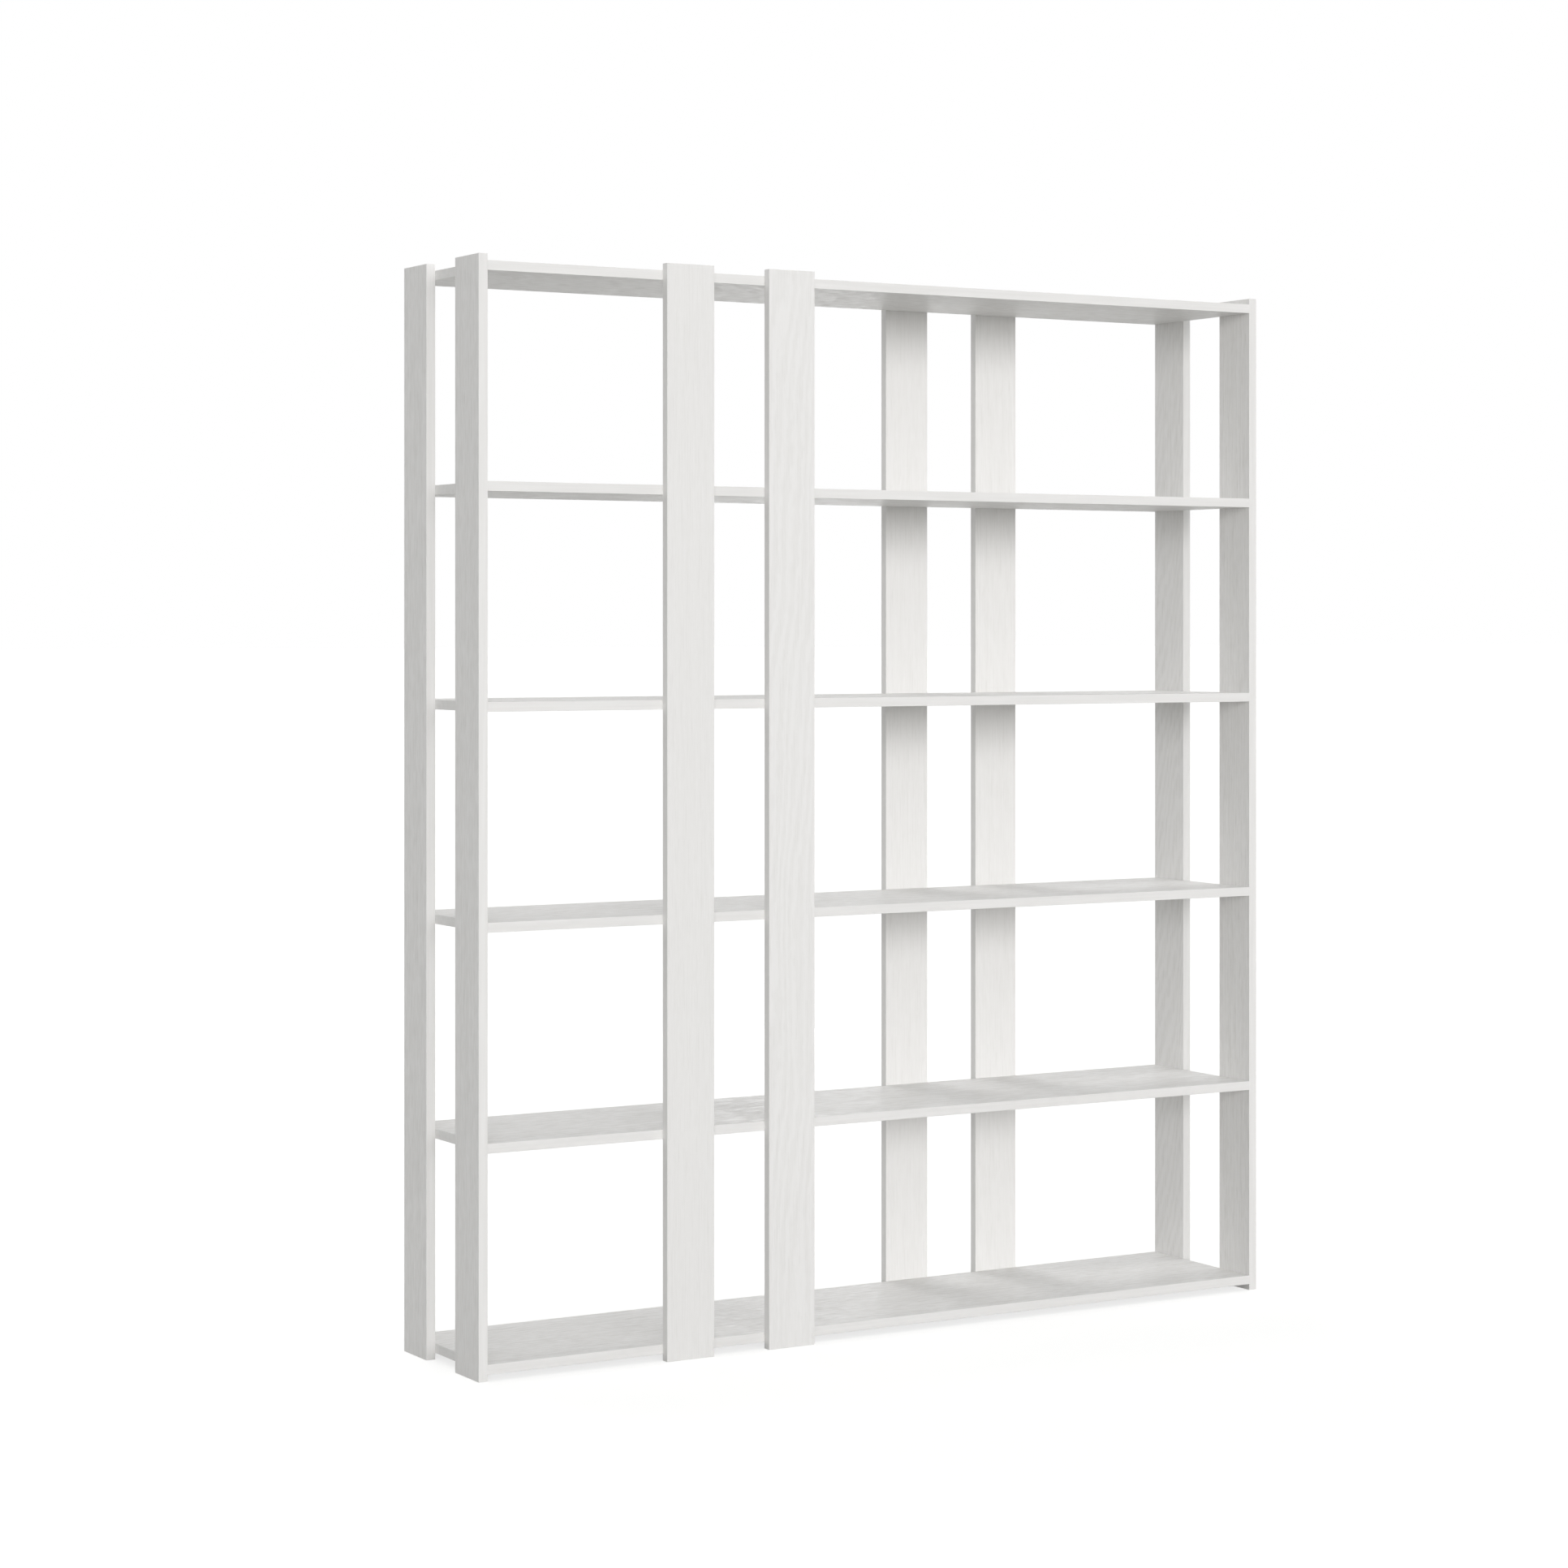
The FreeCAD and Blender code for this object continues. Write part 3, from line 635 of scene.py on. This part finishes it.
def threaded_bolt(settings, diameter, reach, thread_reach):
    """A bolt along the x axis, starting at 0: thread, shank, neck and a chamfered head."""
    core = settings.thread_core / 2
    tip = core / 2
    neck = settings.neck_diameter / 2
    head = settings.head_diameter / 2
    head_start = reach - settings.head_length
    shank_end = head_start - settings.neck_length
    chamfer = settings.head_chamfer
    corners = (
        (0, 0),
        (0, tip),
        (tip, core),
        (thread_reach, core),
        (thread_reach, diameter / 2),
        (shank_end, diameter / 2),
        (shank_end, neck),
        (head_start, neck),
        (head_start, head - chamfer),
        (head_start + chamfer, head),
        (reach - chamfer, head),
        (reach, head - chamfer),
        (reach, 0),
    )
    shape = turned(corners)
    pitch = settings.thread_pitch
    root = core * THREAD_SINK
    crest = settings.thread_diameter / 2
    ridge = ((0, root), (pitch / 4, crest), (pitch / 2, root))
    rim = [shape.verts.new((tip + along, 0, radius)) for along, radius in ridge]
    start = shape.faces.new(rim)
    turns = (thread_reach - core) / pitch - 0.5
    count = round(turns * THREAD_STEPS)
    turn = {"cent": (0, 0, 0), "axis": (1, 0, 0), "dvec": (pitch / THREAD_STEPS, 0, 0)}
    turn.update(angle=count * math.tau / THREAD_STEPS, steps=count, use_duplicate=False)
    bmesh.ops.spin(shape, geom=rim + list(start.edges) + [start], **turn)
    bmesh.ops.recalc_face_normals(shape, faces=shape.faces)
    return shape


def add_copies(context, name, item, places, node, material):
    """One piece made of copies of a small shape, standing for a CAD node."""
    part = bpy.data.meshes.new(name + "_one")
    item.to_mesh(part)
    item.free()
    whole = bmesh.new()
    for place in places:
        earlier = len(whole.verts)
        whole.from_mesh(part)
        bmesh.ops.transform(whole, matrix=place, verts=list(whole.verts)[earlier:])
    mesh = bpy.data.meshes.new(name)
    whole.to_mesh(mesh)
    whole.free()
    bpy.data.meshes.remove(part)
    mesh.materials.append(material)
    piece = bpy.data.objects.new(name, mesh)
    context.scene.collection.objects.link(piece)
    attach(piece, "root")
    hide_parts(node)


def joint_places(upright, node, diameter):
    """Where a node's copies start, their x axis turned into the shelf, and the axis they follow."""
    low, high = (Vector(corner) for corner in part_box(node))
    through = min((ALONG_X, ALONG_Y), key=lambda axis: reach_of(upright, axis))
    across = ALONG_Y if through == ALONG_X else ALONG_X
    on_low_side = low[through] + high[through] < 0
    heading = 0 if through == ALONG_X else math.pi / 2
    heading += 0 if on_low_side else math.pi
    first_row = round(low[across] + diameter / 2, ROW_DIGITS)
    last_row = round(high[across] - diameter / 2, ROW_DIGITS)
    places = []
    for height in JOINT_HEIGHTS:
        for row in sorted({first_row, last_row}):
            start = Vector((0, 0, height))
            start[through] = low[through] if on_low_side else high[through]
            start[across] = row
            places.append(Matrix.Translation(start) @ Matrix.Rotation(heading, 4, "Z"))
    return places, through


class BOOKCASE_OT_turn_dowels(bpy.types.Operator):
    """Make the fluted beech dowels, two in each joint"""

    bl_idname = "bookcase.turn_dowels"
    bl_label = "Turn dowels"

    def execute(self, context):
        settings = context.scene.bookcase_fittings
        tint = settings.beech_colour
        beech = [make_beech(f"beech_along_{axis}", i, tint) for i, axis in enumerate("xy")]
        for name in UPRIGHTS:
            node = name + "_dowels"
            whole = name + "_fluted_dowels"
            diameter = reach_of(node, ALONG_Z) - JOINT_SPAN
            places, through = joint_places(name, node, diameter)
            dowel = fluted_dowel(settings, diameter, reach_of(node, through))
            add_copies(context, whole, dowel, places, node, beech[through])
        return {"FINISHED"}


class BOOKCASE_OT_turn_bolts(bpy.types.Operator):
    """Make the threaded steel bolts, one in each joint"""

    bl_idname = "bookcase.turn_bolts"
    bl_label = "Turn bolts"

    def execute(self, context):
        settings = context.scene.bookcase_fittings
        tint = settings.steel_colour
        steels = []
        for axis in (ALONG_X, ALONG_Y):
            marks = lengthwise(*STEEL_MARK, axis)
            metal = make_metal(f"bolt_steel_{axis}", tint, STEEL_ROUGHNESS, marks, STEEL_RELIEF)
            steels.append(metal)
        for name in UPRIGHTS:
            node = name + "_bolts"
            whole = name + "_threaded_bolts"
            diameter = reach_of(node, ALONG_Z) - JOINT_SPAN
            places, through = joint_places(name, node, diameter)
            low, high = (corner[through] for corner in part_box(node))
            board_low, board_high = (corner[through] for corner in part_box(name))
            thread_reach = min(board_high - low, high - board_low)
            bolt = threaded_bolt(settings, diameter, high - low, thread_reach)
            add_copies(context, whole, bolt, places, node, steels[through])
        return {"FINISHED"}


class BOOKCASE_OT_finish_cams(bpy.types.Operator):
    """Give the cams their cast zinc"""

    bl_idname = "bookcase.finish_cams"
    bl_label = "Finish cams"

    def execute(self, context):
        tint = context.scene.bookcase_fittings.zinc_colour
        zinc = make_metal("cam_zinc", tint, ZINC_ROUGHNESS, [ZINC_PIT] * 3, ZINC_RELIEF)
        dress([name + "_cams" for name in SHELVES], zinc)
        return {"FINISHED"}


def seen_directly(tree):
    """1 for what the camera, a reflection or a view through glass sees, 0 for light on surfaces."""
    path = add_node(tree, "LightPath")
    seen = maths(tree, "MAXIMUM", path.outputs["Is Camera Ray"], path.outputs["Is Glossy Ray"])
    return maths(tree, "MAXIMUM", seen, path.outputs["Is Transmission Ray"])


def make_floor_material(settings):
    """Matt floor that looks white where no shadow falls, and clear from beneath."""
    material = bpy.data.materials.new("studio_floor")
    material.use_nodes = True
    tree = material.node_tree
    tree.nodes.clear()
    matt = add_node(tree, "BsdfDiffuse", None, Color=(*settings.floor_colour, 1))
    glow = maths(tree, "MULTIPLY", seen_directly(tree), settings.floor_glow)
    white = add_node(tree, "Emission", None, Strength=glow)
    both = add_node(tree, "AddShader")
    clear = add_node(tree, "BsdfTransparent")
    sides = add_node(tree, "MixShader")
    output = add_node(tree, "OutputMaterial")
    beneath = add_node(tree, "NewGeometry").outputs["Backfacing"]
    tree.links.new(matt.outputs[0], both.inputs[0])
    tree.links.new(white.outputs[0], both.inputs[1])
    tree.links.new(beneath, sides.inputs[0])
    tree.links.new(both.outputs[0], sides.inputs[1])
    tree.links.new(clear.outputs[0], sides.inputs[2])
    tree.links.new(sides.outputs[0], output.inputs[0])
    return material


def lay_floor(context, settings):
    """A wide floor just under the uprights' feet."""
    mesh = bpy.data.meshes.new("floor")
    shape = bmesh.new()
    bmesh.ops.create_grid(shape, x_segments=1, y_segments=1, size=settings.floor_size / 2)
    bmesh.ops.translate(shape, vec=(0, 0, -settings.floor_gap), verts=shape.verts)
    shape.to_mesh(mesh)
    shape.free()
    mesh.materials.append(make_floor_material(settings))
    floor = bpy.data.objects.new("floor", mesh)
    context.scene.collection.objects.link(floor)


def set_sky(context, settings):
    """Even light from all round, which looks white where it is seen directly."""
    world = bpy.data.worlds.new("studio")
    context.scene.world = world
    world.use_nodes = True
    tree = world.node_tree
    tree.nodes.clear()
    seen = seen_directly(tree)
    shade = blend_colours(tree, seen, settings.sky_colour, (1, 1, 1))
    level = add_node(tree, "MapRange", None, Value=seen, To_Min=settings.sky_level, To_Max=1.0)
    sky = add_node(tree, "Background", None, Color=shade, Strength=level.outputs[0])
    output = add_node(tree, "OutputWorld")
    tree.links.new(sky.outputs[0], output.inputs[0])


def hang_lamps(context, settings):
    """The soft lamps round the bookcase, and the upright tube behind it."""
    for name, (bearing, height) in LAMP_AIMS.items():
        sun = bpy.data.lights.new(name, "SUN")
        sun.energy = math.pi * getattr(settings, name + "_level")
        sun.color = settings.lamp_colour
        sun.angle = settings.lamp_spread
        lamp = bpy.data.objects.new(name, sun)
        lamp.rotation_euler = (math.radians(90 - height), 0, math.radians(bearing))
        context.scene.collection.objects.link(lamp)

    tube = bpy.data.lights.new("tube", "AREA")
    tube.shape = "RECTANGLE"
    tube.size = settings.tube_width
    tube.size_y = settings.tube_height
    tube.energy = math.pi * settings.tube_level * tube.size * tube.size_y
    lamp = bpy.data.objects.new("tube", tube)
    lamp.location = settings.tube_place
    lamp.rotation_euler = (math.pi / 2, 0, math.pi - settings.camera_heading)
    lamp.visible_camera = False
    context.scene.collection.objects.link(lamp)


class BOOKCASE_OT_build_studio(bpy.types.Operator):
    """Lay the floor and set the lamps"""

    bl_idname = "bookcase.build_studio"
    bl_label = "Build studio"

    def execute(self, context):
        settings = context.scene.bookcase_studio
        lay_floor(context, settings)
        set_sky(context, settings)
        hang_lamps(context, settings)
        context.scene.view_settings.view_transform = "Standard"
        return {"FINISHED"}


class BOOKCASE_OT_place_camera(bpy.types.Operator):
    """Stand the level camera in front and to the left"""

    bl_idname = "bookcase.place_camera"
    bl_label = "Place camera"

    def execute(self, context):
        settings = context.scene.bookcase_studio
        data = bpy.data.cameras.new("camera")
        camera = bpy.data.objects.new("camera", data)
        camera.location = settings.camera_place
        camera.rotation_euler = (math.pi / 2, 0, -settings.camera_heading)
        data.lens = settings.camera_lens
        data.shift_x, data.shift_y = settings.camera_shift
        context.scene.collection.objects.link(camera)
        context.scene.camera = camera
        return {"FINISHED"}


SETTINGS = {
    "bookcase_foil": FoilSettings,
    "bookcase_fittings": FittingSettings,
    "bookcase_studio": StudioSettings,
}
STEPS = (
    BOOKCASE_OT_cover_uprights,
    BOOKCASE_OT_cover_shelves,
    BOOKCASE_OT_turn_dowels,
    BOOKCASE_OT_turn_bolts,
    BOOKCASE_OT_finish_cams,
    BOOKCASE_OT_build_studio,
    BOOKCASE_OT_place_camera,
)


class BOOKCASE_PT_steps(bpy.types.Panel):
    """The steps that finish the bookcase, in order, and their settings"""

    bl_idname = "BOOKCASE_PT_steps"
    bl_label = "Open bookcase"
    bl_space_type = "VIEW_3D"
    bl_region_type = "UI"
    bl_category = "Bookcase"

    def draw(self, context):
        for step in STEPS:
            self.layout.operator(step.bl_idname)
        for name in SETTINGS:
            group = getattr(context.scene, name)
            box = self.layout.box()
            for setting in group.__annotations__:
                box.prop(group, setting)


CLASSES = (*SETTINGS.values(), *STEPS, BOOKCASE_PT_steps)


def register():
    """Adds the settings, the steps and the panel to Blender."""
    for item in CLASSES:
        bpy.utils.register_class(item)
    for name, group in SETTINGS.items():
        setattr(bpy.types.Scene, name, PointerProperty(type=group))


def unregister():
    """Takes them away again."""
    for name in SETTINGS:
        delattr(bpy.types.Scene, name)
    for item in reversed(CLASSES):
        bpy.utils.unregister_class(item)


def main():
    """Finishes the bookcase step by step."""
    register()
    for step in STEPS:
        group, action = step.bl_idname.split(".")
        getattr(getattr(bpy.ops, group), action)()


if __name__ == "__main__":
    main()
